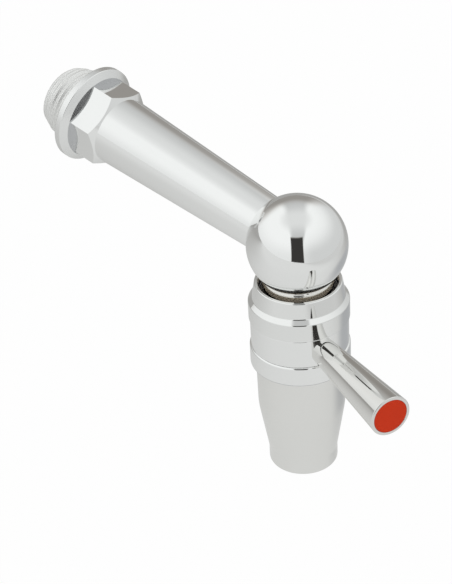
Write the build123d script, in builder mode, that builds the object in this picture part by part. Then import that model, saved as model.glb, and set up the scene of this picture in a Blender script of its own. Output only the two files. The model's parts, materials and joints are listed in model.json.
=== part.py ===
from build123d import *
from math import cos, radians, sin, sqrt
import os

# Wall connection: threaded nipple, flange and milled hexagon
thread_diameter = 20.955
thread_length = 10.6
thread_lead_length = 4.0
thread_lead_drop = 1.7
flange_diameter = 28.7
flange_rim = 2.0
flange_rise = 1.45
flange_edge = 0.3
hex_sides = 6
hex_across_flats = 21.0
hex_land_diameter = 24.6
hex_sink = 0.3
hex_length = 8.8
hex_chamfer_length = 1.6
hex_turn = 43.7
inlet_diameter = 12.0
mouth_diameter = 14.0
mouth_depth = 5.0

# Conical arm between the hexagon and the ball
reach = 78.7
arm_root_diameter = 20.0
arm_tip_diameter = 15.8
arm_depth_in_ball = 10.5
root_spigot_diameter = 16.0
root_spigot_length = 7.0
ball_spigot_diameter = 11.0
ball_spigot_length = 3.6
waterway_diameter = 7.0
spigot_seal = 0.9

# Ball elbow and the neck under it; the body leans out from the wall below the ball
ball_diameter = 27.6
body_lean = 12.0
neck_diameter = 19.8
neck_spigot_length = 2.8
neck_foot_diameter = 22.6
neck_foot_height = 2.0

# Upper collar with its cup rim, measured down the body axis from the ball's centre
rim_drop = 11.3
rim_diameter = 24.1
rim_lip = 1.0
cup_depth = 3.0
lip_height = 2.55
shoulder_diameter = 25.7
shoulder_drop = 15.55
collar_diameter = 28.0
chamfer_drop = 17.6
collar_drop = 22.55
rim_edge = 0.35
collar_thread_diameter = 23.1

# Turning lever ring between the collar and the nozzle
ring_diameter = 27.3
ring_height = 8.35
ring_core_diameter = 22.0
glide_diameter = 25.2
glide_thickness = 0.9
glide_stand = 0.15

# Lever, its stud and the coloured end cap
lever_swing = 20.8
lever_travel = 90.0
lever_drop = 0.25
lever_seat_radius = 12.9
lever_root_diameter = 7.4
lever_tip_diameter = 11.6
lever_length = 34.2
lever_edge = 0.25
cap_diameter = 9.7
cap_thickness = 1.3
cap_shank_diameter = 6.4
cap_shank_length = 4.5
cap_edge = 0.2
stud_diameter = 3.5
stud_in_lever = 7.5
stud_tip_radius = 5.2

# Valve body and the cartridge inside it
gasket_thickness = 1.0
valve_top_wall = 1.0
valve_bore_diameter = 17.0
valve_thread_diameter = 21.2
valve_thread_length = 5.0
peg_diameter = 1.4
peg_turn = 90.0
peg_bite = 0.6
disc_seal_thickness = 0.8
disc_thickness = 1.2
disc_gap = 0.05
port_inner_radius = 1.5
port_outer_radius = 5.2
port_span = 80.0
lug_width = 2.8
lug_depth = 1.4
lug_height = 0.9
rotor_floor_drop = 33.0
rotor_mouth_radius = 5.5
rotor_cone_height = 1.4
ring_groove_width = 1.6
ring_groove_depth = 1.2
ring_groove_drop = 30.6
oring_section = 1.1
thrust_thickness = 0.8

# Nozzle under the lever ring
band_diameter = 28.1
band_height = 5.9
nozzle_top_diameter = 25.0
nozzle_waist_diameter = 24.7
nozzle_waist_drop = 51.7
outlet_diameter = 19.7
outlet_lip_length = 4.75
outlet_drop = 71.75
outlet_round = 1.3
outlet_bore_diameter = 16.4
nozzle_bore_diameter = 18.0
nozzle_bore_bend_drop = 53.3
nozzle_gasket_width = 1.6
insert_depth = 10.95

# Flow straightener, screen and inlet filter
insert_gasket_thickness = 1.0
screen_thickness = 0.4
screen_bar = 0.35
screen_bars = 6
screen_frame = 1.2
straightener_height = 4.0
straightener_hole = 2.3
filter_thickness = 1.2
filter_hole = 1.7
hole_rings = 2
holes_in_first_ring = 6
rim_web_in_pitches = 0.5
seal_lip = 1.0

# Clearances
screwed_fit = 0.05
running_fit = 0.08
seal_fit = 0.07
stud_room = 0.3

# Places worked out from the sizes above
ball_radius = ball_diameter / 2
neck_radius = neck_diameter / 2
neck_seat = -sqrt(ball_radius**2 - neck_radius**2)
hex_floor = flange_rim + flange_rise - hex_sink
hex_front = -(hex_floor + hex_length)
arm_end = -(reach - arm_depth_in_ball)
lip_floor = -(rim_drop + cup_depth + lip_height)
neck_foot = lip_floor - neck_foot_height
valve_top = neck_foot - gasket_thickness
collar_foot = -collar_drop
ring_top = collar_foot - glide_stand
ring_foot = ring_top - ring_height
band_top = ring_foot - glide_stand
band_foot = band_top - band_height
lever_height = (ring_top + ring_foot) / 2 - lever_drop
lever_heading = -90.0 - lever_swing
chamber_top = valve_top - valve_top_wall
fixed_top = chamber_top - disc_seal_thickness
fixed_foot = fixed_top - disc_thickness
moving_top = fixed_foot - disc_gap
rotor_top = moving_top - disc_thickness
rotor_foot = -rotor_floor_drop
thrust_top = rotor_foot - disc_gap
retainer_top = thrust_top - thrust_thickness
valve_foot = band_top - valve_thread_length
nozzle_shelf = valve_foot - gasket_thickness
valve_bore_radius = valve_bore_diameter / 2
valve_thread_radius = valve_thread_diameter / 2
rotor_radius = valve_bore_radius - running_fit
disc_radius = valve_bore_radius - screwed_fit
peg_circle_radius = (valve_bore_radius + port_outer_radius) / 2
stud_radius = stud_diameter / 2
water_radius = waterway_diameter / 2
lever_tip = lever_seat_radius + lever_length
insert_radius = outlet_bore_diameter / 2 - screwed_fit
insert_seat = -(outlet_drop - insert_depth)

ball_centre = (0, -reach, 0)
lean = radians(body_lean)
body_frame = Plane(origin=ball_centre, x_dir=(1, 0, 0), z_dir=(0, sin(lean), cos(lean)))
body_axis = Axis(ball_centre, body_frame.z_dir)


def level_plane(height, turn=0.0):
    """Plane square to the body axis whose x direction points along the lever, turned about the axis."""
    return Plane(body_frame.location * Location((0, 0, height), (0, 0, lever_heading + turn)))


def axial_plane(turn=0.0):
    """Section plane through the body axis, turned from the lever's heading."""
    level = level_plane(0.0, turn)
    return Plane(origin=level.origin, x_dir=level.x_dir, z_dir=-level.y_dir)


def lever_face(distance):
    """Plane square to the lever at a distance from the body axis."""
    return Plane(origin=lever_line.origin + lever_line.x_dir * distance, z_dir=lever_line.x_dir)


def band(inner, outer, low, high):
    """Rectangle between two radii and two heights of a turned section."""
    Polygon((inner, low), (outer, low), (outer, high), (inner, high), align=None)


def hole_pattern(hole, pitch):
    """One hole in the middle and rings around it that each gain as many as the first."""
    Circle(hole / 2, mode=Mode.SUBTRACT)
    for ring in range(1, hole_rings + 1):
        with PolarLocations(ring * pitch, holes_in_first_ring * ring):
            Circle(hole / 2, mode=Mode.SUBTRACT)


def peg_pair(room=0.0, mode=Mode.ADD):
    """Two round pegs, or holes for them, on opposite sides of the body axis."""
    with PolarLocations(peg_circle_radius, 2, start_angle=peg_turn):
        Circle(peg_diameter / 2 + room, mode=mode)


def cut_ports(first_turn, low, high):
    """Two opposite port sections, each turned through the port's span about the axis."""
    for turn in (first_turn, first_turn + 180):
        with BuildSketch(axial_plane(turn - port_span / 2)) as port:
            band(port_inner_radius, port_outer_radius, low, high)
        yield port.sketch


section = axial_plane()
lever_line = Plane(origin=level_plane(lever_height).origin, x_dir=section.x_dir, z_dir=section.z_dir)
lever_axis = Axis(lever_line.origin, lever_line.x_dir)

os.makedirs("parts", exist_ok=True)

# Wall union: nipple, flange and hexagon turned from one bar
thread_radius = thread_diameter / 2
land_radius = hex_land_diameter / 2
flat_radius = hex_across_flats / 2
flange_radius = flange_diameter / 2
socket_radius = root_spigot_diameter / 2 + screwed_fit
socket_floor = hex_front + root_spigot_length + spigot_seal
mouth_floor = thread_length - mouth_depth
with BuildPart() as wall_union:
    with BuildSketch(Plane.XY):
        Polygon(
            (socket_radius, hex_front),
            (flat_radius, hex_front),
            (land_radius, hex_front + hex_chamfer_length),
            (land_radius, -flange_rim - flange_rise),
            (flange_radius - flange_edge, -flange_rim),
            (flange_radius, -flange_rim + flange_edge),
            (flange_radius, -flange_edge),
            (flange_radius - flange_edge, 0),
            (thread_radius, 0),
            (thread_radius, thread_length - thread_lead_length),
            (thread_radius - thread_lead_drop, thread_length),
            (mouth_diameter / 2, thread_length),
            (mouth_diameter / 2, mouth_floor),
            (inlet_diameter / 2, mouth_floor),
            (inlet_diameter / 2, socket_floor),
            (socket_radius, socket_floor),
            align=None,
        )
    revolve(axis=Axis.Y)
    with BuildSketch(Plane.XZ.offset(hex_floor)):
        Circle(land_radius)
        RegularPolygon(flat_radius, hex_sides, major_radius=False, rotation=hex_turn, mode=Mode.SUBTRACT)
    extrude(amount=hex_length, mode=Mode.SUBTRACT)
wall_union.part.label = "wall_union"

# Inlet filter: perforated disc on the step inside the nipple's mouth
filter_radius = mouth_diameter / 2 - screwed_fit
filter_pitch = inlet_diameter / 2 / (hole_rings + rim_web_in_pitches)
with BuildPart() as inlet_filter:
    with BuildSketch(Plane.XZ.offset(-mouth_floor)):
        Circle(filter_radius)
        hole_pattern(filter_hole, filter_pitch)
    extrude(amount=-filter_thickness)
inlet_filter.part.label = "inlet_filter"

# Conical arm with a screwed spigot at each end
with BuildPart() as spout_arm:
    with BuildSketch(Plane.XY):
        Polygon(
            (water_radius, hex_front + root_spigot_length),
            (root_spigot_diameter / 2, hex_front + root_spigot_length),
            (root_spigot_diameter / 2, hex_front),
            (arm_root_diameter / 2, hex_front),
            (arm_tip_diameter / 2, arm_end),
            (ball_spigot_diameter / 2, arm_end),
            (ball_spigot_diameter / 2, arm_end - ball_spigot_length),
            (water_radius, arm_end - ball_spigot_length),
            align=None,
        )
    revolve(axis=Axis.Y)
spout_arm.part.label = "spout_arm"

# Flat seals at the arm's two spigots
with BuildPart() as arm_root_seal:
    with BuildSketch(Plane.XY):
        band(inlet_diameter / 2, root_spigot_diameter / 2, hex_front + root_spigot_length, socket_floor)
    revolve(axis=Axis.Y)
arm_root_seal.part.label = "arm_root_seal"

arm_socket_floor = arm_end - ball_spigot_length - spigot_seal
with BuildPart() as arm_tip_seal:
    with BuildSketch(Plane.XY):
        band(water_radius, ball_spigot_diameter / 2, arm_socket_floor, arm_end - ball_spigot_length)
    revolve(axis=Axis.Y)
arm_tip_seal.part.label = "arm_tip_seal"

# Ball elbow: sphere with a socket for the arm, a faced underside and a drilled water turn
ball_socket_radius = ball_spigot_diameter / 2 + screwed_fit
neck_socket_top = neck_seat + neck_spigot_length + spigot_seal
with BuildPart() as ball_elbow:
    with Locations(ball_centre):
        Sphere(ball_radius)
    with BuildSketch(section):
        band(0, ball_radius, -ball_radius, neck_seat)
        band(0, ball_socket_radius, neck_seat, neck_socket_top)
        band(0, water_radius, neck_socket_top, 0)
    revolve(axis=body_axis, mode=Mode.SUBTRACT)
    with BuildSketch(Plane.XY):
        band(0, arm_tip_diameter / 2 + screwed_fit, arm_end, 0)
        band(0, ball_socket_radius, arm_socket_floor, arm_end)
        band(0, water_radius, -reach, arm_socket_floor)
    revolve(axis=Axis.Y, mode=Mode.SUBTRACT)
    with Locations(ball_centre):
        Sphere(water_radius, mode=Mode.SUBTRACT)
ball_elbow.part.label = "ball_elbow"

# Neck tail that hangs the valve under the ball
with BuildPart() as neck_tail:
    with BuildSketch(section):
        Polygon(
            (water_radius, neck_foot),
            (neck_foot_diameter / 2, neck_foot),
            (neck_foot_diameter / 2, lip_floor),
            (neck_radius, lip_floor),
            (neck_radius, neck_seat),
            (ball_spigot_diameter / 2, neck_seat),
            (ball_spigot_diameter / 2, neck_seat + neck_spigot_length),
            (water_radius, neck_seat + neck_spigot_length),
            align=None,
        )
    revolve(axis=body_axis)
neck_tail.part.label = "neck_tail"

with BuildPart() as neck_seal:
    with BuildSketch(section):
        band(water_radius, ball_spigot_diameter / 2, neck_seat + neck_spigot_length, neck_socket_top)
    revolve(axis=body_axis)
neck_seal.part.label = "neck_seal"

# Upper collar: union nut with an open cup around the neck
collar_radius = collar_diameter / 2
collar_thread_radius = collar_thread_diameter / 2
rim_inner_radius = rim_diameter / 2 - rim_lip
with BuildPart() as upper_collar:
    with BuildSketch(section):
        Polygon(
            (collar_thread_radius, collar_foot),
            (collar_radius, collar_foot),
            (collar_radius, -chamfer_drop),
            (shoulder_diameter / 2, -shoulder_drop),
            (rim_diameter / 2, -rim_drop),
            (rim_inner_radius, -rim_drop),
            (rim_inner_radius, -rim_drop - cup_depth),
            (neck_radius + running_fit, -rim_drop - cup_depth),
            (neck_radius + running_fit, lip_floor),
            (collar_thread_radius, lip_floor),
            align=None,
        )
    revolve(axis=body_axis)
    rim_edges = upper_collar.edges().filter_by(GeomType.CIRCLE).group_by(body_axis)[-1]
    fillet(rim_edges, rim_edge)
upper_collar.part.label = "upper_collar"

# Gasket between the neck's foot and the valve body
gasket_inner_radius = port_outer_radius + screwed_fit
with BuildPart() as neck_gasket:
    with BuildSketch(section):
        band(gasket_inner_radius, neck_foot_diameter / 2, valve_top, neck_foot)
    revolve(axis=body_axis)
neck_gasket.part.label = "neck_gasket"

# Valve body: threaded core that the lever ring turns on, slotted for the lever's stud
slot_half_height = stud_radius + stud_room
core_radius = ring_core_diameter / 2
ring_radius = ring_diameter / 2
with BuildPart() as valve_body:
    with BuildSketch(section):
        Polygon(
            (port_outer_radius, valve_top),
            (collar_thread_radius - screwed_fit, valve_top),
            (collar_thread_radius - screwed_fit, ring_top + glide_stand),
            (core_radius, ring_top + glide_stand),
            (core_radius, band_top),
            (valve_thread_radius, band_top),
            (valve_thread_radius, valve_foot),
            (valve_bore_radius, valve_foot),
            (valve_bore_radius, chamber_top),
            (port_outer_radius, chamber_top),
            align=None,
        )
    revolve(axis=body_axis)
    with BuildSketch(section):
        band(0, ring_radius, lever_height - slot_half_height, lever_height + slot_half_height)
    revolve(axis=body_axis, revolution_arc=lever_travel, mode=Mode.SUBTRACT)
    for turn in (0.0, lever_travel):
        side = axial_plane(turn)
        with BuildSketch(Plane(origin=lever_line.origin, z_dir=side.x_dir)):
            Circle(slot_half_height)
        extrude(amount=ring_radius, mode=Mode.SUBTRACT)
    with BuildSketch(level_plane(chamber_top)):
        peg_pair(screwed_fit)
    extrude(amount=peg_bite + screwed_fit, mode=Mode.SUBTRACT)
valve_body.part.label = "valve_body"

# Face seal over the fixed disc
with BuildPart() as disc_seal:
    with BuildSketch(level_plane(fixed_top)):
        Circle(disc_radius)
        Circle(gasket_inner_radius, mode=Mode.SUBTRACT)
        peg_pair(screwed_fit, Mode.SUBTRACT)
    extrude(amount=disc_seal_thickness)
disc_seal.part.label = "disc_seal"

# Fixed ceramic disc, pegged to the valve body's top wall
with BuildPart() as fixed_disc:
    with BuildSketch(level_plane(fixed_foot)):
        Circle(disc_radius)
    extrude(amount=disc_thickness)
    with BuildSketch(level_plane(fixed_top)):
        peg_pair()
    extrude(amount=disc_seal_thickness + peg_bite)
    for port in cut_ports(lever_travel, fixed_foot, fixed_top):
        revolve(port, axis=body_axis, revolution_arc=port_span, mode=Mode.SUBTRACT)
fixed_disc.part.label = "fixed_disc"

# Moving ceramic disc: ports a quarter turn from the fixed ones, notched for the rotor's lugs
moving_radius = rotor_radius - running_fit
lug_centre = moving_radius - lug_depth / 2
notch_depth = lug_depth + 2 * screwed_fit + running_fit
notch_width = lug_width + 2 * screwed_fit
with BuildPart() as moving_disc:
    with BuildSketch(level_plane(rotor_top)):
        Circle(moving_radius)
        with PolarLocations(lug_centre, 2):
            Rectangle(notch_depth, notch_width, mode=Mode.SUBTRACT)
    extrude(amount=disc_thickness)
    for port in cut_ports(0.0, rotor_top, moving_top):
        revolve(port, axis=body_axis, revolution_arc=port_span, mode=Mode.SUBTRACT)
moving_disc.part.label = "moving_disc"

# Rotor: carries the moving disc, holds the lever's stud and runs in the valve body
groove_low = -ring_groove_drop - ring_groove_width / 2
groove_high = groove_low + ring_groove_width
with BuildPart() as valve_rotor:
    with BuildSketch(section):
        Polygon(
            (water_radius, rotor_foot),
            (rotor_radius, rotor_foot),
            (rotor_radius, groove_low),
            (rotor_radius - ring_groove_depth, groove_low),
            (rotor_radius - ring_groove_depth, groove_high),
            (rotor_radius, groove_high),
            (rotor_radius, rotor_top),
            (rotor_mouth_radius, rotor_top),
            (water_radius, rotor_top - rotor_cone_height),
            align=None,
        )
    revolve(axis=body_axis)
    with BuildSketch(level_plane(rotor_top)):
        with PolarLocations(lug_centre, 2):
            Rectangle(lug_depth, lug_width)
    extrude(amount=lug_height)
    with BuildSketch(lever_face(stud_tip_radius)):
        Circle(stud_radius + screwed_fit)
    extrude(amount=rotor_radius, mode=Mode.SUBTRACT)
valve_rotor.part.label = "valve_rotor"

# Rubber ring in the rotor's groove
oring_centre = valve_bore_radius - seal_fit - oring_section / 2
with BuildPart() as rotor_oring:
    with BuildSketch(section):
        with Locations((oring_centre, -ring_groove_drop)):
            Circle(oring_section / 2)
    revolve(axis=body_axis)
rotor_oring.part.label = "rotor_oring"

# Thrust washer and the screwed ring that keeps the rotor up
with BuildPart() as thrust_washer:
    with BuildSketch(section):
        band(water_radius, disc_radius, retainer_top, thrust_top)
    revolve(axis=body_axis)
thrust_washer.part.label = "thrust_washer"

spanner_slot_length = 2 * (disc_radius - water_radius) - lug_width
with BuildPart() as rotor_retainer:
    with BuildSketch(section):
        band(water_radius, disc_radius, valve_foot, retainer_top)
    revolve(axis=body_axis)
    with BuildSketch(level_plane(valve_foot)):
        with PolarLocations(disc_radius, 2):
            Rectangle(spanner_slot_length, lug_width)
    extrude(amount=(retainer_top - valve_foot) / 2, mode=Mode.SUBTRACT)
rotor_retainer.part.label = "rotor_retainer"

# Lever ring: turns on the core, counterbored at both ends for its glide washers
ring_bore_radius = core_radius + running_fit
glide_seat = glide_thickness - glide_stand
seat_radius = glide_diameter / 2 + screwed_fit
with BuildPart() as lever_ring:
    with BuildSketch(section):
        Polygon(
            (ring_bore_radius, ring_foot + glide_seat),
            (seat_radius, ring_foot + glide_seat),
            (seat_radius, ring_foot),
            (ring_radius, ring_foot),
            (ring_radius, ring_top),
            (seat_radius, ring_top),
            (seat_radius, ring_top - glide_seat),
            (ring_bore_radius, ring_top - glide_seat),
            align=None,
        )
    revolve(axis=body_axis)
    with BuildSketch(lever_face(0)):
        Circle(stud_radius + screwed_fit)
    extrude(amount=ring_diameter, mode=Mode.SUBTRACT)
    with BuildSketch(lever_face(lever_seat_radius)):
        Circle(lever_root_diameter / 2 + screwed_fit)
    extrude(amount=ring_diameter, mode=Mode.SUBTRACT)
lever_ring.part.label = "lever_ring"

# Glide washers above and below the lever ring
with BuildPart() as upper_glide:
    with BuildSketch(section):
        band(ring_bore_radius, glide_diameter / 2, ring_top - glide_seat, collar_foot)
    revolve(axis=body_axis)
upper_glide.part.label = "upper_glide"

with BuildPart() as lower_glide:
    with BuildSketch(section):
        band(ring_bore_radius, glide_diameter / 2, band_top, ring_foot + glide_seat)
    revolve(axis=body_axis)
lower_glide.part.label = "lower_glide"

# Tapered lever, recessed at its end for the coloured cap
cap_seat = lever_tip - cap_thickness
shank_floor = cap_seat - cap_shank_length - screwed_fit
with BuildPart() as lever_handle:
    with BuildSketch(lever_line):
        Polygon(
            (lever_seat_radius, stud_radius + screwed_fit),
            (lever_seat_radius, lever_root_diameter / 2),
            (lever_tip - lever_edge, lever_tip_diameter / 2),
            (lever_tip, lever_tip_diameter / 2 - lever_edge),
            (lever_tip, cap_diameter / 2 + screwed_fit),
            (cap_seat, cap_diameter / 2 + screwed_fit),
            (cap_seat, cap_shank_diameter / 2 + screwed_fit),
            (shank_floor, cap_shank_diameter / 2 + screwed_fit),
            (shank_floor, 0),
            (lever_seat_radius + stud_in_lever + screwed_fit, 0),
            (lever_seat_radius + stud_in_lever + screwed_fit, stud_radius + screwed_fit),
            align=None,
        )
    revolve(axis=lever_axis)
lever_handle.part.label = "lever_handle"

# Stud that carries the lever through the ring and the slot into the rotor
with BuildPart() as lever_stud:
    with BuildSketch(lever_line):
        Polygon(
            (stud_tip_radius + screwed_fit, 0),
            (lever_seat_radius + stud_in_lever, 0),
            (lever_seat_radius + stud_in_lever, stud_radius),
            (stud_tip_radius + screwed_fit, stud_radius),
            align=None,
        )
    revolve(axis=lever_axis)
lever_stud.part.label = "lever_stud"

# Coloured cap: thin head on a tapered shank
with BuildPart() as indicator_cap:
    with BuildSketch(lever_line):
        Polygon(
            (cap_seat - cap_shank_length, 0),
            (lever_tip, 0),
            (lever_tip, cap_diameter / 2 - cap_edge),
            (lever_tip - cap_edge, cap_diameter / 2),
            (cap_seat, cap_diameter / 2),
            (cap_seat, cap_shank_diameter / 2),
            (cap_seat - cap_shank_length, cap_shank_diameter / 2 - cap_edge),
            align=None,
        )
    revolve(axis=lever_axis)
indicator_cap.part.label = "indicator_cap"

# Nozzle: plain band under the lever ring, long taper and a soft outlet lip
outlet_radius = outlet_diameter / 2
outlet_bore_radius = outlet_bore_diameter / 2
nozzle_bore_radius = nozzle_bore_diameter / 2
socket_wall_radius = valve_thread_radius + screwed_fit
insert_shelf_radius = outlet_bore_radius - seal_lip
with BuildPart() as nozzle:
    with BuildSketch(section):
        with BuildLine():
            taper = Polyline(
                (socket_wall_radius, band_top),
                (band_diameter / 2, band_top),
                (band_diameter / 2, band_foot),
                (nozzle_top_diameter / 2, band_foot),
                (nozzle_waist_diameter / 2, -nozzle_waist_drop),
                (outlet_radius, -outlet_drop + outlet_lip_length),
                (outlet_radius, -outlet_drop + outlet_round),
            )
            lip = RadiusArc(taper @ 1, (outlet_radius - outlet_round, -outlet_drop), outlet_round)
            Polyline(
                lip @ 1,
                (outlet_bore_radius, -outlet_drop),
                (outlet_bore_radius, insert_seat),
                (insert_shelf_radius, insert_seat),
                (nozzle_bore_radius, -nozzle_bore_bend_drop),
                (nozzle_bore_radius, nozzle_shelf),
                (socket_wall_radius, nozzle_shelf),
                taper @ 0,
            )
        make_face()
    revolve(axis=body_axis)
nozzle.part.label = "nozzle"

with BuildPart() as nozzle_gasket:
    with BuildSketch(section):
        band(valve_thread_radius - nozzle_gasket_width, valve_thread_radius, nozzle_shelf, valve_foot)
    revolve(axis=body_axis)
nozzle_gasket.part.label = "nozzle_gasket"

# Outlet insert: gasket, wire screen and perforated flow straightener
screen_top = insert_seat - insert_gasket_thickness
straightener_top = screen_top - screen_thickness
with BuildPart() as insert_gasket:
    with BuildSketch(section):
        band(insert_shelf_radius, insert_radius, screen_top, insert_seat)
    revolve(axis=body_axis)
insert_gasket.part.label = "insert_gasket"

screen_pitch = 2 * (insert_radius - screen_frame) / (screen_bars + 1)
with BuildPart() as outlet_screen:
    with BuildSketch(level_plane(straightener_top)):
        Circle(insert_radius)
        Circle(insert_radius - screen_frame, mode=Mode.SUBTRACT)
        with GridLocations(0, screen_pitch, 1, screen_bars):
            Rectangle(2 * insert_radius, screen_bar)
        with GridLocations(screen_pitch, 0, screen_bars, 1):
            Rectangle(screen_bar, 2 * insert_radius)
        Circle(insert_radius, mode=Mode.INTERSECT)
    extrude(amount=screen_thickness)
outlet_screen.part.label = "outlet_screen"

straightener_pitch = insert_radius / (hole_rings + rim_web_in_pitches)
with BuildPart() as flow_straightener:
    with BuildSketch(level_plane(straightener_top)):
        Circle(insert_radius)
        hole_pattern(straightener_hole, straightener_pitch)
    extrude(amount=-straightener_height)
flow_straightener.part.label = "flow_straightener"

# One file for each piece
for piece in (
    wall_union,
    inlet_filter,
    spout_arm,
    arm_root_seal,
    arm_tip_seal,
    ball_elbow,
    neck_tail,
    neck_seal,
    upper_collar,
    neck_gasket,
    valve_body,
    disc_seal,
    fixed_disc,
    moving_disc,
    valve_rotor,
    rotor_oring,
    thrust_washer,
    rotor_retainer,
    lever_ring,
    upper_glide,
    lower_glide,
    lever_handle,
    lever_stud,
    indicator_cap,
    nozzle,
    nozzle_gasket,
    insert_gasket,
    outlet_screen,
    flow_straightener,
):
    export_step(piece.part, f"parts/{piece.part.label}.step")
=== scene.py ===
import json
from math import asin, ceil, cos, pi, radians, sin, sqrt

import bmesh
import bpy
from mathutils import Matrix, Vector


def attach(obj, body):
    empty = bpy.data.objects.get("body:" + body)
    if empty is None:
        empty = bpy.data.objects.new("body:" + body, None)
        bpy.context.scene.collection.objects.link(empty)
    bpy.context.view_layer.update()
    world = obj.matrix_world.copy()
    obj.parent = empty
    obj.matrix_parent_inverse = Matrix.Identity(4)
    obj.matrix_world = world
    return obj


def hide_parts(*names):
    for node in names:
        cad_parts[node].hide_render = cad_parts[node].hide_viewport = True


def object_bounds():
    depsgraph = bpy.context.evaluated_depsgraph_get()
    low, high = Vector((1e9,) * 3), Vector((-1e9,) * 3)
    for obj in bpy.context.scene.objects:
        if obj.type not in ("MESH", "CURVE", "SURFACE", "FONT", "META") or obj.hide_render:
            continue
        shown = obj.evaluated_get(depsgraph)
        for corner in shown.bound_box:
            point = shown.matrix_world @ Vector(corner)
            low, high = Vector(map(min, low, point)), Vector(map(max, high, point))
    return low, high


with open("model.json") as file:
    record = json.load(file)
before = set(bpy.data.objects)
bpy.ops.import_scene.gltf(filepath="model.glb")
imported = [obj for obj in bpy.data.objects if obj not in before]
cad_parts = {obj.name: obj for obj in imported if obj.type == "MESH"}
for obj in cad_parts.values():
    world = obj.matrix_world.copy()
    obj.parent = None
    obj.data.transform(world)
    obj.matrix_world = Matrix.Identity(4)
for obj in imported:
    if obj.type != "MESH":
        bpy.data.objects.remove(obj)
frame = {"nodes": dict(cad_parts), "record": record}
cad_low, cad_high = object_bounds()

MM = 0.001

# Camera, fitted to the photograph's edges
IMAGE_WIDTH = 452
IMAGE_HEIGHT = 584
FOCAL_PIXELS = 1700.0
SENSOR_HEIGHT = 36.0
CAMERA_AZIMUTH = radians(-46.444)
CAMERA_ELEVATION = radians(33.239)
CAMERA_ROLL = radians(-3.439)
CAMERA_DISTANCE = 455.83 * MM
CAMERA_CLIP = 10 * MM
BALL_PIXEL = (297.07, 244.24)

# Sizes repeated from the model, in millimetres
REACH = 78.7
THREAD_RADIUS = 20.955 / 2
THREAD_LENGTH = 10.6
THREAD_LEAD_LENGTH = 4.0
THREAD_LEAD_DROP = 1.7
FLANGE_RADIUS = 14.35
FLANGE_RIM = 2.0
FLANGE_RISE = 1.45
FLANGE_EDGE = 0.3
HEX_FLAT_RADIUS = 10.5
HEX_LAND_RADIUS = 12.3
HEX_FLOOR = 3.15
HEX_LENGTH = 8.8
HEX_CHAMFER = 1.6
HEX_TURN = radians(43.7)
MOUTH_RADIUS = 7.0
MOUTH_DEPTH = 5.0
INLET_RADIUS = 6.0
ARM_ROOT_RADIUS = 10.0
ARM_TIP_RADIUS = 7.9
ARM_DEPTH_IN_BALL = 10.5
BALL_RADIUS = 13.8
BODY_LEAN = radians(12.0)
NECK_RADIUS = 9.9
NECK_FOOT_RADIUS = 11.3
NECK_FOOT_DROP = 16.85
NECK_END_DROP = 18.85
WATER_RADIUS = 3.5
RIM_DROP = 11.3
RIM_RADIUS = 12.05
RIM_LIP = 1.0
CUP_DEPTH = 3.0
SHOULDER_RADIUS = 12.85
SHOULDER_DROP = 15.55
COLLAR_RADIUS = 14.0
COLLAR_BEVEL_DROP = 17.6
COLLAR_DROP = 22.55
COLLAR_THREAD_RADIUS = 11.55
COLLAR_LIP_RADIUS = 9.98
RING_RADIUS = 13.65
RING_BORE_RADIUS = 11.08
RING_TOP_DROP = 22.7
RING_FOOT_DROP = 31.05
GLIDE_SEAT_RADIUS = 12.65
GLIDE_SEAT_DEPTH = 0.75
LEVER_SWING = radians(20.8)
LEVER_DROP = 0.25
LEVER_SEAT = 12.9
LEVER_TIP = 47.1
LEVER_ROOT_RADIUS = 3.7
LEVER_TIP_RADIUS = 5.8
CAP_RADIUS = 4.85
CAP_THICKNESS = 1.3
CAP_SHANK_RADIUS = 3.2
CAP_SHANK_LENGTH = 4.5
STUD_HOLE_RADIUS = 1.8
STUD_HOLE_DEPTH = 7.55
BAND_RADIUS = 14.05
BAND_FOOT_DROP = 37.1
NOZZLE_TOP_RADIUS = 12.5
NOZZLE_WAIST_RADIUS = 12.35
NOZZLE_WAIST_DROP = 51.7
OUTLET_RADIUS = 9.85
OUTLET_TAPER_DROP = 67.0
OUTLET_DROP = 71.75
OUTLET_BORE_RADIUS = 8.2
INSERT_SEAT_DROP = 60.8
INSERT_SHELF_RADIUS = 7.2
NOZZLE_BORE_RADIUS = 9.0
NOZZLE_BEND_DROP = 53.3
NOZZLE_SOCKET_RADIUS = 10.65
FIT = 0.05

# Edges, borders of finishes and fine relief as the scene shapes them, in millimetres
CRISP = 0.12
SOFT = 0.35
THREAD_PITCH = 1.814
THREAD_DEPTH = 0.52
BEVEL_TRIM = 0.38
BEVEL_EDGE = 0.5
COLLAR_FOOT_EDGE = 0.24
# Depth of the cup's painted beige band, above its painted shade
CUP_PAINTED_BAND_DEPTH = 1.8
FINISH_MARGIN = 0.035
LEVER_EDGE = 0.3
BAND_EDGE = 0.6
LIP_ROUND = 0.74
LIP_TRIM = 0.11
TAPER_ROUND = 7.8
WAIST_ROUND = 26.0

# Mesh fineness: counts, shares and angles, with distances in millimetres
ROUND_SEGMENTS = 192
CORNER_STEPS = 5
CORNER_ROOM = 0.45
STRAIGHT_ANGLE = 1e-4
LEAST_CUT = 1e-5
SAME_PLACE = 1e-6
MERGE_DISTANCE = 1e-4
BALL_ROWS = 96
THREAD_ROWS_PER_TURN = 14
HEX_SIDES = 6
HEX_SHARP_ANGLE = radians(20)
THREAD_SHARP_ANGLE = radians(50)

lever_height = -(RING_TOP_DROP + RING_FOOT_DROP) / 2 - LEVER_DROP


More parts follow.
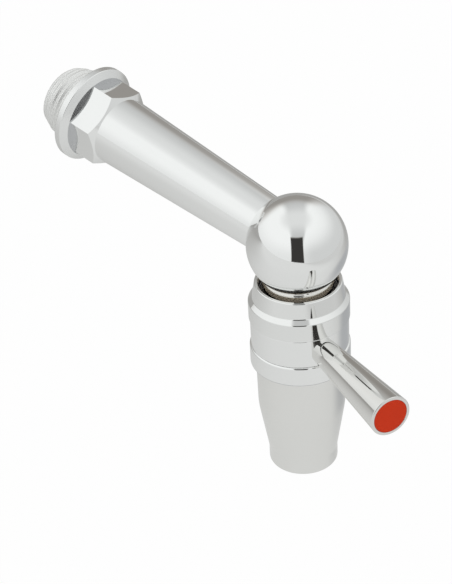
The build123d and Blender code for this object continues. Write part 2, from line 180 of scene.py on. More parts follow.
def rounded_profile(corners):
    """Closed section in (radius, height) with rounded corners and the exact outward normals.

    Corners run anticlockwise and each is (radius, height, rounding).
    """
    points = []
    count = len(corners)
    for index in range(count):
        before = Vector(corners[index - 1][:2])
        here = Vector(corners[index][:2])
        after = Vector(corners[(index + 1) % count][:2])
        rounding = corners[index][2]
        arriving = (here - before).normalized()
        leaving = (after - here).normalized()
        turn = arriving.angle_signed(leaving) * -1
        half = abs(turn) / 2
        room = CORNER_ROOM * min((here - before).length, (after - here).length)
        cut = min(rounding * sin(half) / cos(half), room) if half > STRAIGHT_ANGLE else 0.0
        if cut < LEAST_CUT:
            for way in (arriving, leaving):
                points.append((here.x, here.y, way.y, -way.x))
            continue
        bend = cut * cos(half) / sin(half)
        side = 1 if turn > 0 else -1
        centre = here - arriving * cut + Vector((-arriving.y, arriving.x)) * bend * side
        for step in range(CORNER_STEPS + 1):
            swing = turn * step / CORNER_STEPS
            way = Matrix.Rotation(swing, 2) @ arriving
            outward = Vector((way.y, -way.x))
            place = centre + outward * bend * side
            points.append((place.x, place.y, outward.x, outward.y))
    return points


def new_object(name, data):
    """Links a mesh or camera to the scene as an object."""
    piece = bpy.data.objects.new(name, data)
    bpy.context.scene.collection.objects.link(piece)
    return piece


def turned_mesh(name, profile, placement, closed=True, smooth=True):
    """Turns a section about its height axis; placement carries (x, y, height) to the tap's frame."""
    vertices = []
    normals = []
    rows = []
    for radius, height, out, up in profile:
        row = []
        steps = ROUND_SEGMENTS if radius > SAME_PLACE else 1
        for step in range(steps):
            angle = 2 * pi * step / ROUND_SEGMENTS
            row.append(len(vertices))
            place = Vector((radius * cos(angle), radius * sin(angle), height))
            facing = Vector((out * cos(angle), out * sin(angle), up))
            vertices.append((placement @ place) * MM)
            normals.append((placement.to_3x3() @ facing).normalized())
        rows.append(row)
    faces = []
    pairs = len(rows) if closed else len(rows) - 1
    for index in range(pairs):
        following = (index + 1) % len(rows)
        low = rows[index]
        high = rows[following]
        apart = Vector(profile[following][:2]) - Vector(profile[index][:2])
        if apart.length < SAME_PLACE or len(low) == len(high) == 1:
            continue
        for step in range(ROUND_SEGMENTS):
            ahead = (step + 1) % ROUND_SEGMENTS
            if len(low) == 1:
                faces.append((low[0], high[ahead], high[step]))
            elif len(high) == 1:
                faces.append((low[step], low[ahead], high[0]))
            else:
                faces.append((low[step], low[ahead], high[ahead], high[step]))
    mesh = bpy.data.meshes.new(name)
    mesh.from_pydata(vertices, [], faces)
    mesh.validate()
    if smooth:
        mesh.polygons.foreach_set("use_smooth", [True] * len(mesh.polygons))
        mesh.normals_split_custom_set_from_vertices(normals)
    return mesh


# Placements: the body hangs under the ball and leans out, the arm runs along Y, the lever points outward
LEAN = Matrix.Rotation(-BODY_LEAN, 4, "X")
BODY = Matrix.Translation((0, -REACH, 0)) @ LEAN
ARM = Matrix.Rotation(radians(-90), 4, "X")
lever_way = Vector((-sin(LEVER_SWING), -cos(LEVER_SWING), 0))
lever_side = Vector((0, 0, 1)).cross(lever_way)
LEVER = BODY @ Matrix.Translation((0, 0, lever_height)) @ Matrix(
    (
        (lever_side.x, 0, lever_way.x, 0),
        (lever_side.y, 0, lever_way.y, 0),
        (0, 1, 0, 0),
        (0, 0, 0, 1),
    )
)


def turned_piece(name, corners, placement):
    """A smooth turned piece from a closed section."""
    return new_object(name, turned_mesh(name, rounded_profile(corners), placement))


def mark_finish(piece, number, placement, radius, lowest, highest):
    """Gives the faces within a radius and between two heights one of the piece's further finishes."""
    to_section = placement.inverted()
    for face in piece.data.polygons:
        place = to_section @ (face.center / MM)
        if place.xy.length < radius and lowest < place.z < highest:
            face.material_index = number


def make_arm():
    """Conical arm between the hexagon and the ball."""
    front = -(HEX_FLOOR + HEX_LENGTH)
    end = -(REACH - ARM_DEPTH_IN_BALL)
    return turned_piece(
        "arm_skin",
        [
            (WATER_RADIUS, end, CRISP),
            (ARM_TIP_RADIUS, end, CRISP),
            (ARM_ROOT_RADIUS, front + CRISP, CRISP),
            (WATER_RADIUS, front + CRISP, CRISP),
        ],
        ARM,
    )


def make_ball():
    """Sphere faced off where the neck meets it."""
    lowest = -asin(sqrt(BALL_RADIUS**2 - NECK_RADIUS**2) / BALL_RADIUS)
    seat = BALL_RADIUS * sin(lowest)
    profile = [(0.0, seat, 0.0, -1.0), (NECK_RADIUS, seat, 0.0, -1.0)]
    for row in range(BALL_ROWS + 1):
        rise = lowest + (pi / 2 - lowest) * row / BALL_ROWS
        radius = BALL_RADIUS * cos(rise) if row < BALL_ROWS else 0.0
        profile.append((radius, BALL_RADIUS * sin(rise), cos(rise), sin(rise)))
    return new_object("ball_skin", turned_mesh("ball_skin", profile, BODY, closed=False))


def make_neck():
    """Neck under the ball with the foot that the collar holds."""
    seat = -sqrt(BALL_RADIUS**2 - NECK_RADIUS**2)
    return turned_piece(
        "neck_skin",
        [
            (WATER_RADIUS, -NECK_END_DROP, CRISP),
            (NECK_FOOT_RADIUS, -NECK_END_DROP, CRISP),
            (NECK_FOOT_RADIUS, -NECK_FOOT_DROP, CRISP),
            (NECK_RADIUS, -NECK_FOOT_DROP, CRISP),
            (NECK_RADIUS, seat, CRISP),
            (WATER_RADIUS, seat, CRISP),
        ],
        BODY,
    )


def make_collar():
    """Upper collar with its near-straight rim, its bevelled shoulder and the cup, with painted light and
    shade inside: a warm beige upper band, which the neck mirrors, and a dark lower wall and bottom.
    """
    cup_radius = RIM_RADIUS - RIM_LIP
    painted_band_end = -RIM_DROP - CUP_PAINTED_BAND_DEPTH
    piece = turned_piece(
        "collar_skin",
        [
            (COLLAR_THREAD_RADIUS, -COLLAR_DROP, CRISP),
            (COLLAR_RADIUS, -COLLAR_DROP, COLLAR_FOOT_EDGE),
            (COLLAR_RADIUS, -COLLAR_BEVEL_DROP + BEVEL_TRIM, BEVEL_EDGE),
            (SHOULDER_RADIUS, -SHOULDER_DROP - BEVEL_TRIM, BEVEL_EDGE),
            (RIM_RADIUS, -RIM_DROP, SOFT),
            (cup_radius, -RIM_DROP, SOFT),
            (cup_radius, painted_band_end, 0.0),
            (cup_radius, -RIM_DROP - CUP_DEPTH, SOFT),
            (COLLAR_LIP_RADIUS, -RIM_DROP - CUP_DEPTH, CRISP),
            (COLLAR_LIP_RADIUS, -NECK_FOOT_DROP, CRISP),
            (COLLAR_THREAD_RADIUS, -NECK_FOOT_DROP, CRISP),
        ],
        BODY,
    )
    # Painted light and shade in the cup: warm beige upper band, dark lower wall and bottom
    mark_finish(piece, 1, BODY, cup_radius + FINISH_MARGIN, painted_band_end, 0.0)
    mark_finish(piece, 2, BODY, cup_radius + FINISH_MARGIN, -NECK_FOOT_DROP, painted_band_end)
    return piece


def make_ring():
    """Lever ring, seated for a glide washer at each end."""
    return turned_piece(
        "lever_ring_skin",
        [
            (RING_BORE_RADIUS, -RING_FOOT_DROP + GLIDE_SEAT_DEPTH, CRISP),
            (GLIDE_SEAT_RADIUS, -RING_FOOT_DROP + GLIDE_SEAT_DEPTH, CRISP),
            (GLIDE_SEAT_RADIUS, -RING_FOOT_DROP, CRISP),
            (RING_RADIUS, -RING_FOOT_DROP, FIT),
            (RING_RADIUS, -RING_TOP_DROP, CRISP),
            (GLIDE_SEAT_RADIUS, -RING_TOP_DROP, CRISP),
            (GLIDE_SEAT_RADIUS, -RING_TOP_DROP - GLIDE_SEAT_DEPTH, CRISP),
            (RING_BORE_RADIUS, -RING_TOP_DROP - GLIDE_SEAT_DEPTH, CRISP),
        ],
        BODY,
    )


def make_band():
    """Plain band at the nozzle's top, with a bright upper edge and a line of painted shade in darker grey
    chrome along the lower one.
    """
    piece = turned_piece(
        "band_skin",
        [
            (NOZZLE_SOCKET_RADIUS, -BAND_FOOT_DROP, 0.0),
            (NOZZLE_TOP_RADIUS, -BAND_FOOT_DROP, CRISP),
            (BAND_RADIUS, -BAND_FOOT_DROP, SOFT),
            (BAND_RADIUS, -RING_FOOT_DROP - FIT, BAND_EDGE),
            (NOZZLE_SOCKET_RADIUS, -RING_FOOT_DROP - FIT, CRISP),
        ],
        BODY,
    )
    # Painted shade: a thin darker grey line along the band's lower edge
    mark_finish(piece, 1, BODY, BAND_RADIUS, -BAND_FOOT_DROP, -BAND_FOOT_DROP + SOFT)
    return piece


def make_nozzle():
    """Nozzle below its band: long taper, soft lip and open bore."""
    return turned_piece(
        "nozzle_skin",
        [
            (OUTLET_BORE_RADIUS, -OUTLET_DROP + LIP_TRIM, SOFT),
            (OUTLET_RADIUS, -OUTLET_DROP + LIP_TRIM, LIP_ROUND),
            (OUTLET_RADIUS, -OUTLET_TAPER_DROP, TAPER_ROUND),
            (NOZZLE_WAIST_RADIUS, -NOZZLE_WAIST_DROP, WAIST_ROUND),
            (NOZZLE_TOP_RADIUS, -BAND_FOOT_DROP, CRISP),
            (NOZZLE_BORE_RADIUS, -BAND_FOOT_DROP, CRISP),
            (NOZZLE_BORE_RADIUS, -NOZZLE_BEND_DROP, CRISP),
            (INSERT_SHELF_RADIUS, -INSERT_SEAT_DROP, CRISP),
            (OUTLET_BORE_RADIUS, -INSERT_SEAT_DROP, CRISP),
        ],
        BODY,
    )


def make_lever():
    """Tapered lever with a bright rim around the cap's recess."""
    seat = LEVER_TIP - CAP_THICKNESS
    shank = CAP_SHANK_RADIUS + FIT
    return turned_piece(
        "lever_skin",
        [
            (STUD_HOLE_RADIUS, LEVER_SEAT, CRISP),
            (LEVER_ROOT_RADIUS, LEVER_SEAT, CRISP),
            (LEVER_TIP_RADIUS, LEVER_TIP, LEVER_EDGE),
            (CAP_RADIUS + FIT, LEVER_TIP, CRISP),
            (CAP_RADIUS + FIT, seat, CRISP),
            (shank, seat, CRISP),
            (shank, seat - CAP_SHANK_LENGTH - FIT, CRISP),
            (0.0, seat - CAP_SHANK_LENGTH - FIT, 0.0),
            (0.0, LEVER_SEAT + STUD_HOLE_DEPTH, 0.0),
            (STUD_HOLE_RADIUS, LEVER_SEAT + STUD_HOLE_DEPTH, CRISP),
        ],
        LEVER,
    )


def make_cap():
    """Coloured cap: thin head on a shank."""
    seat = LEVER_TIP - CAP_THICKNESS
    return turned_piece(
        "cap_skin",
        [
            (0.0, seat - CAP_SHANK_LENGTH, 0.0),
            (CAP_SHANK_RADIUS - CRISP, seat - CAP_SHANK_LENGTH, CRISP),
            (CAP_SHANK_RADIUS, seat, CRISP),
            (CAP_RADIUS, seat, CRISP),
            (CAP_RADIUS, LEVER_TIP - FIT, FIT),
            (0.0, LEVER_TIP - FIT, 0.0),
        ],
        LEVER,
    )


def make_flange():
    """Round flange with its coned front and a shallow recess around the hexagon, which carries painted shade
    in a darker grey chrome.
    """
    cone_top = -FLANGE_RIM - FLANGE_RISE
    piece = turned_piece(
        "flange_skin",
        [
            (INLET_RADIUS, -HEX_FLOOR, CRISP),
            (HEX_LAND_RADIUS, -HEX_FLOOR, CRISP),
            (HEX_LAND_RADIUS, cone_top, CRISP),
            (FLANGE_RADIUS, -FLANGE_RIM, FLANGE_EDGE),
            (FLANGE_RADIUS, 0.0, FLANGE_EDGE),
            (INLET_RADIUS, 0.0, CRISP),
        ],
        ARM,
    )
    # Painted shade: the recess floor around the hexagon gets the darker grey chrome
    mark_finish(piece, 1, ARM, HEX_LAND_RADIUS - CRISP / 2, cone_top, -FLANGE_RIM)
    return piece


def make_hexagon():
    """Hexagon milled on a bevelled round."""
    front = -(HEX_FLOOR + HEX_LENGTH)
    profile = rounded_profile(
        [
            (0.0, front, 0.0),
            (ARM_ROOT_RADIUS, front, 0.0),
            (HEX_LAND_RADIUS, front + HEX_CHAMFER, 0.0),
            (HEX_LAND_RADIUS, -HEX_FLOOR, 0.0),
            (0.0, -HEX_FLOOR, 0.0),
        ]
    )
    mesh = turned_mesh("hexagon_skin", profile, ARM, smooth=False)
    form = bmesh.new()
    form.from_mesh(mesh)
    bmesh.ops.remove_doubles(form, verts=form.verts, dist=MERGE_DISTANCE * MM)
    side_turn = 2 * pi / HEX_SIDES
    for side in range(HEX_SIDES):
        angle = HEX_TURN + (side + 0.5) * side_turn
        outward = Vector((cos(angle), 0, sin(angle)))
        cut = bmesh.ops.bisect_plane(
            form,
            geom=form.verts[:] + form.edges[:] + form.faces[:],
            plane_co=outward * HEX_FLAT_RADIUS * MM,
            plane_no=outward,
            clear_outer=True,
        )
        rim = [part for part in cut["geom_cut"] if isinstance(part, bmesh.types.BMEdge)]
        bmesh.ops.contextual_create(form, geom=rim)
    bmesh.ops.recalc_face_normals(form, faces=form.faces)
    flat = bpy.data.meshes.new("hexagon_skin")
    form.to_mesh(flat)
    form.free()
    bpy.data.meshes.remove(mesh)
    flat.polygons.foreach_set("use_smooth", [True] * len(flat.polygons))
    flat.set_sharp_from_angle(angle=HEX_SHARP_ANGLE)
    return new_object("hexagon_skin", flat)


def thread_radius_at(along, turn):
    """Radius of the pipe thread at a distance from the flange and a share of a turn."""
    ridge = THREAD_DEPTH * (0.5 - 0.5 * cos(2 * pi * (along / THREAD_PITCH - turn)))
    into_lead = max(0.0, along - THREAD_LENGTH + THREAD_LEAD_LENGTH) / THREAD_LEAD_LENGTH
    return THREAD_RADIUS - THREAD_LEAD_DROP * into_lead - ridge


def make_thread():
    """Pipe thread as one helical surface, closed by the end face and the mouth's bore."""
    turns = [step / ROUND_SEGMENTS for step in range(ROUND_SEGMENTS)]
    rows = ceil(THREAD_LENGTH / THREAD_PITCH * THREAD_ROWS_PER_TURN)
    rings = []
    for row in range(rows + 1):
        along = THREAD_LENGTH * row / rows
        rings.append((along, [thread_radius_at(along, turn) for turn in turns]))
    floor = THREAD_LENGTH - MOUTH_DEPTH
    inside = (
        (THREAD_LENGTH, MOUTH_RADIUS),
        (floor, MOUTH_RADIUS),
        (floor, INLET_RADIUS),
        (0.0, INLET_RADIUS),
    )
    for along, radius in inside:
        rings.append((along, [radius] * ROUND_SEGMENTS))
    vertices = []
    for along, radii in rings:
        for radius, turn in zip(radii, turns):
            angle = 2 * pi * turn
            vertices.append(Vector((radius * cos(angle), along, radius * sin(angle))) * MM)
    faces = []
    for row in range(len(rings)):
        near = row * ROUND_SEGMENTS
        far = (row + 1) % len(rings) * ROUND_SEGMENTS
        for step in range(ROUND_SEGMENTS):
            ahead = (step + 1) % ROUND_SEGMENTS
            faces.append((near + step, near + ahead, far + ahead, far + step))
    mesh = bpy.data.meshes.new("thread_skin")
    mesh.from_pydata(vertices, [], faces)
    form = bmesh.new()
    form.from_mesh(mesh)
    bmesh.ops.recalc_face_normals(form, faces=form.faces)
    form.to_mesh(mesh)
    form.free()
    mesh.polygons.foreach_set("use_smooth", [True] * len(mesh.polygons))
    mesh.set_sharp_from_angle(angle=THREAD_SHARP_ANGLE)
    return new_object("thread_skin", mesh)


# Grain of the finishes
NOISE_LOW = 0.3
NOISE_HIGH = 0.7
CLOUD_DETAIL = 4.0
GRAIN_DETAIL = 3.0
METAL_CLOUD_SCALE = 60.0
METAL_GRAIN_SCALE = 900.0
METAL_GRAIN_DEPTH = 0.02 * MM
PLAIN_GRAIN_SHARE = 12
PLAIN_GRAIN_DEPTH = 0.03 * MM
PLAIN_SPECULAR = 0.5


def new_material(name):
    """A node material, its nodes and links, and its Principled shader."""
    material = bpy.data.materials.new(name)
    material.use_nodes = True
    nodes = material.node_tree.nodes
    shader = nodes.get("Principled BSDF")
    return material, nodes, material.node_tree.links, shader


def feed(links, socket, value):
    """Links an output to a socket, or sets a number or colour on it."""
    if isinstance(value, bpy.types.NodeSocket):
        links.new(value, socket)
    elif isinstance(value, tuple):
        socket.default_value = (*value, 1.0)
    else:
        socket.default_value = value


def blend(nodes, links, factor, first, second, kind="RGBA"):
    """Blends two colours, or two numbers with the kind FLOAT."""
    mix = nodes.new("ShaderNodeMix")
    mix.data_type = kind
    feed(links, mix.inputs["Factor"], factor)
    feed(links, mix.inputs["A"], first)
    feed(links, mix.inputs["B"], second)
    return mix.outputs["Result"]


def calculate(nodes, links, operation, first, second=0.0):
    """Works out one value from one or two others."""
    join = nodes.new("ShaderNodeMath")
    join.operation = operation
    feed(links, join.inputs[0], first)
    feed(links, join.inputs[1], second)
    return join.outputs["Value"]


def measure(nodes, links, operation, place, other):
    """Distance of a place from a point, or its length along a direction."""
    length = nodes.new("ShaderNodeVectorMath")
    length.operation = operation
    length.inputs[1].default_value = other
    links.new(place, length.inputs[0])
    return length.outputs["Value"]


def soft_step(nodes, links, value, start, end):
    """Soft step from 0 at start to 1 at end."""
    step = nodes.new("ShaderNodeMapRange")
    step.interpolation_type = "SMOOTHSTEP"
    step.inputs["From Min"].default_value = min(start, end)
    step.inputs["From Max"].default_value = max(start, end)
    step.inputs["To Min"].default_value = 0.0 if start < end else 1.0
    step.inputs["To Max"].default_value = 1.0 if start < end else 0.0
    links.new(value, step.inputs["Value"])
    return step.outputs["Result"]


def object_noise(nodes, links, scale, detail):
    """Noise fixed to the tap."""
    place = nodes.new("ShaderNodeTexCoord")
    noise = nodes.new("ShaderNodeTexNoise")
    noise.inputs["Scale"].default_value = scale
    noise.inputs["Detail"].default_value = detail
    links.new(place.outputs["Object"], noise.inputs["Vector"])
    return noise.outputs["Fac"]


def spread(nodes, links, noise, low, high):
    """Maps a noise value onto a range."""
    span = nodes.new("ShaderNodeMapRange")
    span.inputs["From Min"].default_value = NOISE_LOW
    span.inputs["From Max"].default_value = NOISE_HIGH
    span.inputs["To Min"].default_value = low
    span.inputs["To Max"].default_value = high
    links.new(noise, span.inputs["Value"])
    return span.outputs["Result"]


def clouded(name, colours, polish, relief, cloud_scale, grain_scale, grain_depth):
    """Material with faint clouding in its colour and polish, and a fine grain; with its shader."""
    material, nodes, links, shader = new_material(name)
    cloud = object_noise(nodes, links, cloud_scale, CLOUD_DETAIL)
    grain = object_noise(nodes, links, grain_scale, GRAIN_DETAIL)
    links.new(blend(nodes, links, cloud, *colours), shader.inputs["Base Color"])
    links.new(spread(nodes, links, cloud, *polish), shader.inputs["Roughness"])
    bump = nodes.new("ShaderNodeBump")
    bump.inputs["Strength"].default_value = relief
    bump.inputs["Distance"].default_value = grain_depth
    links.new(grain, bump.inputs["Height"])
    links.new(bump.outputs["Normal"], shader.inputs["Normal"])
    return material, shader


def metal(name, first, second, smooth, rough, relief, metallic=1.0):
    """Metal between two near colours and two roughnesses."""
    scales = (METAL_CLOUD_SCALE, METAL_GRAIN_SCALE, METAL_GRAIN_DEPTH)
    material, shader = clouded(name, (first, second), (smooth, rough), relief, *scales)
    shader.inputs["Metallic"].default_value = metallic
    return material


def plain(name, first, second, smooth, rough, relief, scale, specular=PLAIN_SPECULAR):
    """Plastic, rubber or ceramic between two near colours and two roughnesses."""
    scales = (scale, scale * PLAIN_GRAIN_SHARE, PLAIN_GRAIN_DEPTH)
    material, shader = clouded(name, (first, second), (smooth, rough), relief, *scales)
    shader.inputs["Specular IOR Level"].default_value = specular
    return material


chrome = metal("chrome", (0.895, 0.90, 0.895), (0.925, 0.93, 0.925), 0.035, 0.06, 0.02)
collar_chrome = metal("collar_chrome", (0.86, 0.865, 0.857), (0.893, 0.898, 0.89), 0.035, 0.06, 0.02)
satin_chrome = metal("satin_chrome", (0.835, 0.832, 0.812), (0.875, 0.872, 0.855), 0.07, 0.13, 0.06)
flange_chrome = metal("flange_chrome", (0.88, 0.885, 0.88), (0.92, 0.925, 0.92), 0.22, 0.30, 0.08)
# Darker grey chrome: painted shade in the flange's recess around the hexagon and along the band's lower edge
painted_shade_chrome = metal("painted_shade_chrome", (0.60, 0.605, 0.62), (0.65, 0.655, 0.67), 0.22, 0.30, 0.08)
thread_chrome = metal("thread_chrome", (0.90, 0.90, 0.89), (0.95, 0.95, 0.94), 0.36, 0.44, 0.03, 0.55)
lever_chrome = metal("lever_chrome", (0.775, 0.77, 0.75), (0.83, 0.825, 0.805), 0.045, 0.07, 0.03)
# Warm beige band of painted light inside the cup, which the neck mirrors
cup_painted_band = metal("cup_painted_band", (0.93, 0.845, 0.72), (0.96, 0.875, 0.75), 0.24, 0.32, 0.05, 0.2)
neck_metal = metal("neck_metal", (0.89, 0.875, 0.845), (0.92, 0.905, 0.88), 0.05, 0.09, 0.03)
# Painted shade on the cup's lower wall and bottom
cup_painted_shade = metal("cup_painted_shade", (0.12, 0.118, 0.12), (0.15, 0.148, 0.15), 0.20, 0.30, 0.03)
brass = metal("bare_brass", (0.60, 0.44, 0.20), (0.68, 0.52, 0.26), 0.22, 0.34, 0.10)
steel = metal("filter_steel", (0.60, 0.60, 0.60), (0.68, 0.68, 0.67), 0.22, 0.32, 0.08)
red = plain("red_plastic", (0.77, 0.045, 0.010), (0.85, 0.054, 0.013), 0.45, 0.58, 0.10, 140.0, 0.12)
rubber = plain("seal_rubber", (0.020, 0.020, 0.021), (0.032, 0.032, 0.033), 0.55, 0.75, 0.30, 220.0)
ceramic = plain("valve_ceramic", (0.80, 0.79, 0.75), (0.86, 0.85, 0.82), 0.18, 0.28, 0.05, 180.0)
pale = plain("pale_plastic", (0.72, 0.72, 0.70), (0.79, 0.79, 0.77), 0.38, 0.50, 0.12, 160.0)

slot_materials = {
    "chrome": chrome,
    "bare_brass": brass,
    "filter_steel": steel,
    "red_plastic": red,
    "seal_rubber": rubber,
    "valve_ceramic": ceramic,
    "pale_plastic": pale,
}


def dress(piece, finishes, body, slot, *nodes):
    """Gives a piece its finishes, the body it rides on and the nodes it stands for."""
    for finish in finishes:
        piece.data.materials.append(finish)
    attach(piece, body)
    if nodes:
        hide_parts(*nodes)


for entry in frame["record"]["subparts"]:
    node = frame["nodes"][entry["node"]]
    node.data.materials.clear()
    node.data.materials.append(slot_materials[entry["material_slot"]])

dress(make_thread(), [thread_chrome], "fixed_tap", "chrome", "wall_union")
dress(make_flange(), [flange_chrome, painted_shade_chrome], "fixed_tap", "chrome")
dress(make_hexagon(), [chrome], "fixed_tap", "chrome")
dress(make_arm(), [chrome], "fixed_tap", "chrome", "spout_arm")
dress(make_ball(), [chrome], "fixed_tap", "chrome", "ball_elbow")
dress(make_neck(), [neck_metal], "fixed_tap", "chrome", "neck_tail")
dress(make_collar(), [collar_chrome, cup_painted_band, cup_painted_shade], "fixed_tap", "chrome", "upper_collar")
dress(make_ring(), [chrome], "lever", "chrome", "lever_ring")
dress(make_lever(), [lever_chrome], "lever", "chrome", "lever_handle")
dress(make_cap(), [red], "lever", "red_plastic", "indicator_cap")
dress(make_nozzle(), [satin_chrome], "fixed_tap", "chrome", "nozzle")
dress(make_band(), [chrome, painted_shade_chrome], "fixed_tap", "chrome")

# Camera, set in the leaning body's own directions
ball_centre = Vector((0, -REACH * MM, 0))
body_ways = LEAN.to_3x3()
level_back = body_ways @ Vector((sin(CAMERA_AZIMUTH), -cos(CAMERA_AZIMUTH), 0))
level_right = body_ways @ Vector((cos(CAMERA_AZIMUTH), sin(CAMERA_AZIMUTH), 0))
body_up = body_ways @ Vector((0, 0, 1))
camera_back = level_back * cos(CAMERA_ELEVATION) + body_up * sin(CAMERA_ELEVATION)
level_up = camera_back.cross(level_right)
camera_right = level_right * cos(CAMERA_ROLL) + level_up * sin(CAMERA_ROLL)
camera_up = level_up * cos(CAMERA_ROLL) - level_right * sin(CAMERA_ROLL)
across = (BALL_PIXEL[0] - IMAGE_WIDTH / 2) / FOCAL_PIXELS
down = (BALL_PIXEL[1] - IMAGE_HEIGHT / 2) / FOCAL_PIXELS
camera_place = ball_centre + (camera_back - camera_right * across + camera_up * down) * CAMERA_DISTANCE
lens = bpy.data.cameras.new("camera")
lens.sensor_fit = "VERTICAL"
lens.sensor_height = SENSOR_HEIGHT
lens.lens = FOCAL_PIXELS * SENSOR_HEIGHT / IMAGE_HEIGHT
lens.clip_start = CAMERA_CLIP
camera = new_object("camera", lens)
camera_turn = Matrix((camera_right, camera_up, camera_back)).transposed()
camera.matrix_world = Matrix.Translation(camera_place) @ camera_turn.to_4x4()
bpy.context.scene.camera = camera

# Floor: its own colour, the painted light and shade that it glows with in the metal's reflections, and
# distances from the ball in metres
FLOOR_GAP = 40 * MM
FLOOR_SIZE = 6.0
FLOOR_COLOUR = (0.74, 0.735, 0.725)
FLOOR_ROUGHNESS = 0.9
FLOOR_WHITE = 0.98
FLOOR_SHARE_IN_METAL = 0.6
# Painted light and shade that the floor glows with for glossy rays
FLOOR_LIGHT_SPOT = (0.84, 0.85, 0.845)
FLOOR_AHEAD = (0.86, 0.87, 0.865)
FLOOR_SHADE_BEHIND = (0.27, 0.262, 0.25)
FLOOR_RIGHT = (0.68, 0.685, 0.68)
FLOOR_SHADE_SPOT = (0.34, 0.355, 0.38)
FLOOR_LIGHT_SPOT_AHEAD = 0.10
FLOOR_LIGHT_SPOT_FADE = (0.02, 0.26)
FLOOR_FADE = (-0.32, 0.18)
FLOOR_RIGHT_FADE = (0.16, 0.62)
FLOOR_SHADE_SPOT_RIGHT = 0.15
FLOOR_SHADE_SPOT_BEHIND = 0.07
FLOOR_SHADE_SPOT_FADE = (0.03, 0.12)
BACKDROP_WHITE = (1.0, 1.0, 1.0)
half = FLOOR_SIZE / 2
level = cad_low[2] - FLOOR_GAP
floor_corners = [(-half, -half, level), (half, -half, level), (half, half, level), (-half, half, level)]
floor_mesh = bpy.data.meshes.new("floor")
floor_mesh.from_pydata(floor_corners, [], [(0, 1, 2, 3)])
floor = new_object("floor", floor_mesh)


def at_height(vector, height):
    """The level part of a vector, at a height."""
    return Vector((vector.x, vector.y, height))


def floor_material():
    """Pale floor that the camera sees as white, with a faint shadow; in the metal it glows with painted light
    and shade.
    """
    material, nodes, links, shader = new_material("floor_white_and_painted_light")
    feed(links, shader.inputs["Base Color"], FLOOR_COLOUR)
    shader.inputs["Roughness"].default_value = FLOOR_ROUGHNESS
    place = nodes.new("ShaderNodeTexCoord").outputs["Object"]
    rays = nodes.new("ShaderNodeLightPath").outputs
    spot = ball_centre + level_back * FLOOR_LIGHT_SPOT_AHEAD
    shade_spot = ball_centre + level_right * FLOOR_SHADE_SPOT_RIGHT - level_back * FLOOR_SHADE_SPOT_BEHIND
    steps = []
    for operation, other, start, span in (
        ("DISTANCE", at_height(spot, level), 0.0, FLOOR_LIGHT_SPOT_FADE),
        ("DISTANCE", at_height(shade_spot, level), 0.0, FLOOR_SHADE_SPOT_FADE),
        ("DOT_PRODUCT", at_height(level_back, 0.0), ball_centre.dot(level_back), FLOOR_FADE),
        ("DOT_PRODUCT", at_height(level_right, 0.0), ball_centre.dot(level_right), FLOOR_RIGHT_FADE),
    ):
        length = measure(nodes, links, operation, place, other)
        steps.append(soft_step(nodes, links, length, start + span[0], start + span[1]))
    off_light_spot, off_shade_spot, ahead, right = steps
    # Painted light and shade in the metal: painted shade behind the ball, a middle level to its right, a
    # painted light spot just ahead of it and a painted shade spot at its right
    painted_floor_light = blend(nodes, links, ahead, FLOOR_SHADE_BEHIND, FLOOR_AHEAD)
    painted_floor_light = blend(nodes, links, right, painted_floor_light, FLOOR_RIGHT)
    painted_floor_light = blend(nodes, links, off_light_spot, FLOOR_LIGHT_SPOT, painted_floor_light)
    painted_floor_light = blend(nodes, links, off_shade_spot, FLOOR_SHADE_SPOT, painted_floor_light)
    glow = nodes.new("ShaderNodeEmission")
    white = blend(nodes, links, rays["Is Camera Ray"], painted_floor_light, BACKDROP_WHITE)
    links.new(white, glow.inputs["Color"])
    seen = calculate(nodes, links, "MULTIPLY", rays["Is Camera Ray"], FLOOR_WHITE)
    mirrored = calculate(nodes, links, "MULTIPLY", rays["Is Glossy Ray"], FLOOR_SHARE_IN_METAL)
    mix = nodes.new("ShaderNodeMixShader")
    links.new(calculate(nodes, links, "MAXIMUM", seen, mirrored), mix.inputs["Fac"])
    links.new(shader.outputs["BSDF"], mix.inputs[1])
    links.new(glow.outputs["Emission"], mix.inputs[2])
    links.new(mix.outputs["Shader"], nodes["Material Output"].inputs["Surface"])
    return material


floor.data.materials.append(floor_material())

# Light tent: the level of each part, and the dot products with its direction between which it fades in
TENT_LOW = 0.84
TENT_HIGH = 0.97
TENT_RISE = (0.0, 0.6)
TENT_RIGHT = 0.80
RIGHT_SIDE = (-0.2, 0.6)
RIGHT_HEIGHT = (0.9, 0.1)
TENT_ZENITH = 0.78
ZENITH_HEIGHT = (0.80, 1.0)
TENT_BAND = 0.77
TENT_BAND_END = 0.58
BAND_LEFT = -0.26
BAND_RIGHT = 0.30
BAND_SOFT = 0.10
BAND_NARROWING = 0.35
BAND_SIDE = (0.52, 0.44)
BAND_END_FADE = (0.15, 0.75)
BAND_HEIGHT = (0.1, 0.5)
TENT_BACK = 0.32
BACK_FRONT = (-0.45, -0.93)
BACK_HEIGHT = (0.80, 0.40)
BACK_SIDE = (0.60, 0.22)
TENT_SLIT = 0.042
SLIT_HALF_WIDTH = 0.215
SLIT_SIDE = -0.045
SLIT_TOP = 0.72
SLIT_SOFT = 0.03
SLIT_FRONT = (0.3, 0.4)
TENT_WHITE = (0.985, 1.0, 0.995)
TENT_SHADE = (1.0, 0.955, 0.90)
BACKDROP_LEVEL = 1.0
world = bpy.data.worlds.new("tent")
bpy.context.scene.world = world
world.use_nodes = True
world_nodes = world.node_tree.nodes
world_links = world.node_tree.links


def tent_step(value, start, end):
    """Soft step in the tent."""
    return soft_step(world_nodes, world_links, value, start, end)


def tent_math(operation, first, second=0.0):
    """Works out a value in the tent."""
    return calculate(world_nodes, world_links, operation, first, second)


def tent_blend(factor, first, second, kind="FLOAT"):
    """Blends two levels of the tent, or two of its colours."""
    return blend(world_nodes, world_links, factor, first, second, kind)


direction = world_nodes.new("ShaderNodeTexCoord").outputs["Generated"]
ways = (level_back, level_right, body_up)
to_front, to_side, upward = [
    measure(world_nodes, world_links, "DOT_PRODUCT", direction, way) for way in ways
]

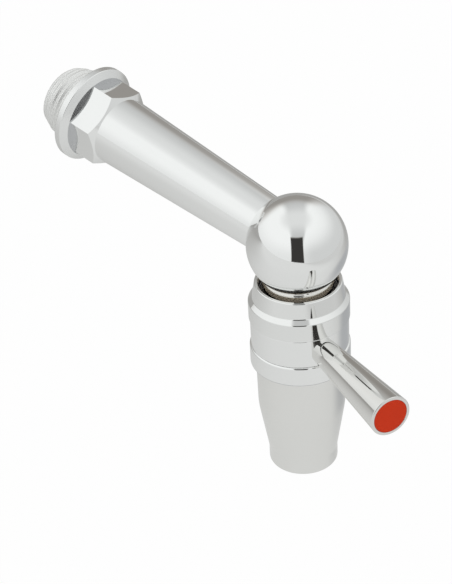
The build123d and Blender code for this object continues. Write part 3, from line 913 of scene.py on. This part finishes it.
# Walls brighter higher up and dimmer at the low right, and a dimmer zenith
tent = tent_blend(tent_step(upward, *TENT_RISE), TENT_LOW, TENT_HIGH)
low_right = tent_math("MULTIPLY", tent_step(to_side, *RIGHT_SIDE), tent_step(upward, *RIGHT_HEIGHT))
tent = tent_math("MULTIPLY", tent, tent_blend(low_right, 1.0, TENT_RIGHT))
tent = tent_blend(tent_step(upward, *ZENITH_HEIGHT), tent, TENT_ZENITH)

# Greyer band across the ceiling, narrower to the front and darker at both ends
band_left = tent_step(to_side, BAND_LEFT - BAND_SOFT, BAND_LEFT + BAND_SOFT)
band_right = tent_step(to_side, BAND_RIGHT + BAND_SOFT, BAND_RIGHT - BAND_SOFT)
off_middle = tent_math("ADD", tent_math("ABSOLUTE", to_side), tent_math("MULTIPLY", to_front, BAND_NARROWING))
band = tent_math("MULTIPLY", tent_math("MULTIPLY", band_left, band_right), tent_step(off_middle, *BAND_SIDE))
band = tent_math("MULTIPLY", band, tent_step(upward, *BAND_HEIGHT))
band_end = tent_step(tent_math("ABSOLUTE", to_front), *BAND_END_FADE)
tent = tent_blend(band, tent, tent_blend(band_end, TENT_BAND, TENT_BAND_END))

# Dark low back
behind = tent_math("MULTIPLY", tent_step(to_front, *BACK_FRONT), tent_step(upward, *BACK_HEIGHT))
behind = tent_math("MULTIPLY", behind, tent_step(to_side, *BACK_SIDE))
tent = tent_blend(behind, tent, TENT_BACK)

# Dark slit in front
off_slit = tent_math("ABSOLUTE", tent_math("SUBTRACT", to_side, SLIT_SIDE))
slit = tent_step(off_slit, SLIT_HALF_WIDTH + SLIT_SOFT, SLIT_HALF_WIDTH)
slit = tent_math("MULTIPLY", slit, tent_step(to_front, *SLIT_FRONT))
slit = tent_math("MULTIPLY", slit, tent_step(upward, SLIT_TOP + SLIT_SOFT, SLIT_TOP - SLIT_SOFT))
tent = tent_blend(slit, tent, TENT_SLIT)

# The camera itself sees a white backdrop
camera_ray = world_nodes.new("ShaderNodeLightPath").outputs["Is Camera Ray"]
tone = tent_blend(tent_math("MAXIMUM", behind, slit), TENT_WHITE, TENT_SHADE, "RGBA")
backdrop = world_nodes["Background"].inputs
world_links.new(tent_blend(camera_ray, tone, BACKDROP_WHITE, "RGBA"), backdrop["Color"])
world_links.new(tent_blend(camera_ray, tent, BACKDROP_LEVEL), backdrop["Strength"])

bpy.context.scene.view_settings.view_transform = "Standard"
